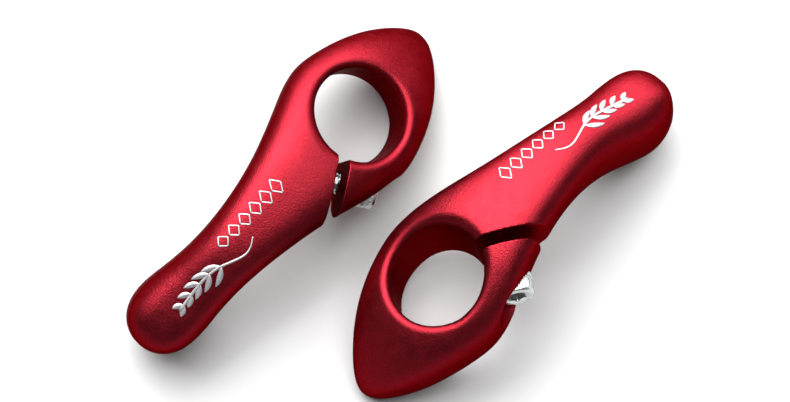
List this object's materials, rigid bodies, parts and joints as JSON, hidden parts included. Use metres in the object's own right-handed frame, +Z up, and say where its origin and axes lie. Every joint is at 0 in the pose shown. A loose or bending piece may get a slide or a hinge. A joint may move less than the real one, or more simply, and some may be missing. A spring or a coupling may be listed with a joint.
{
  "type": "bicycle bar ends",
  "caption": "Pair of short ergonomic bicycle bar ends: sculpted horn and slit clamp ring in one piece, closed on the handlebar by a socket head bolt.",
  "frame": {"origin": "middle of the pair's bounding box, on the surface that both bar ends lie on", "axes": "+Z up out of the surface, +X along the pair's longest side, from the left bar end towards the right one, +Y away from the right bar end's pointed end"},
  "size_m": [0.127, 0.089, 0.0316],
  "materials": {
    "anodised_aluminium": "bead blasted, red anodised, satin",
    "zinc_plated_steel": "bright zinc plate"
  },
  "bodies": {
    "left_bar_end": {"left_bar_end": "anodised_aluminium"},
    "right_bar_end": {"right_bar_end": "anodised_aluminium"},
    "left_washer": {"left_washer": "zinc_plated_steel"},
    "left_clamp_bolt": {"left_clamp_bolt": "zinc_plated_steel"},
    "right_washer": {"right_washer": "zinc_plated_steel"},
    "right_clamp_bolt": {"right_clamp_bolt": "zinc_plated_steel"}
  },
  "joints": [
    {"name": "right_bar_end_lift", "type": "slide", "parent": "left_bar_end", "child": "right_bar_end", "axis": [0, 0, 1], "range_m": [0, 0.15]},
    {"name": "left_bolt_travel", "type": "slide", "parent": "left_bar_end", "child": "left_washer", "axis": [0.9552, -0.1443, -0.2582], "range_m": [0, 0.008]},
    {"name": "left_bolt_turn", "type": "hinge", "parent": "left_washer", "child": "left_clamp_bolt", "pos_m": [-0.01024, 0.00285, 0.01442], "axis": [0.9552, -0.1443, -0.2582], "range_deg": [0, 3600]},
    {"name": "right_bolt_travel", "type": "slide", "parent": "right_bar_end", "child": "right_washer", "axis": [0.1993, -0.9598, 0.1976], "range_m": [0, 0.008]},
    {"name": "right_bolt_turn", "type": "hinge", "parent": "right_washer", "child": "right_clamp_bolt", "pos_m": [0.02492, -0.02068, 0.02061], "axis": [0.1993, -0.9598, 0.1976], "range_deg": [0, 3600]}
  ],
  "couplings": [
    {"joint": "left_bolt_turn", "follows": "left_bolt_travel", "rad_per_m": 7854},
    {"joint": "right_bolt_turn", "follows": "right_bolt_travel", "rad_per_m": 7854}
  ]
}
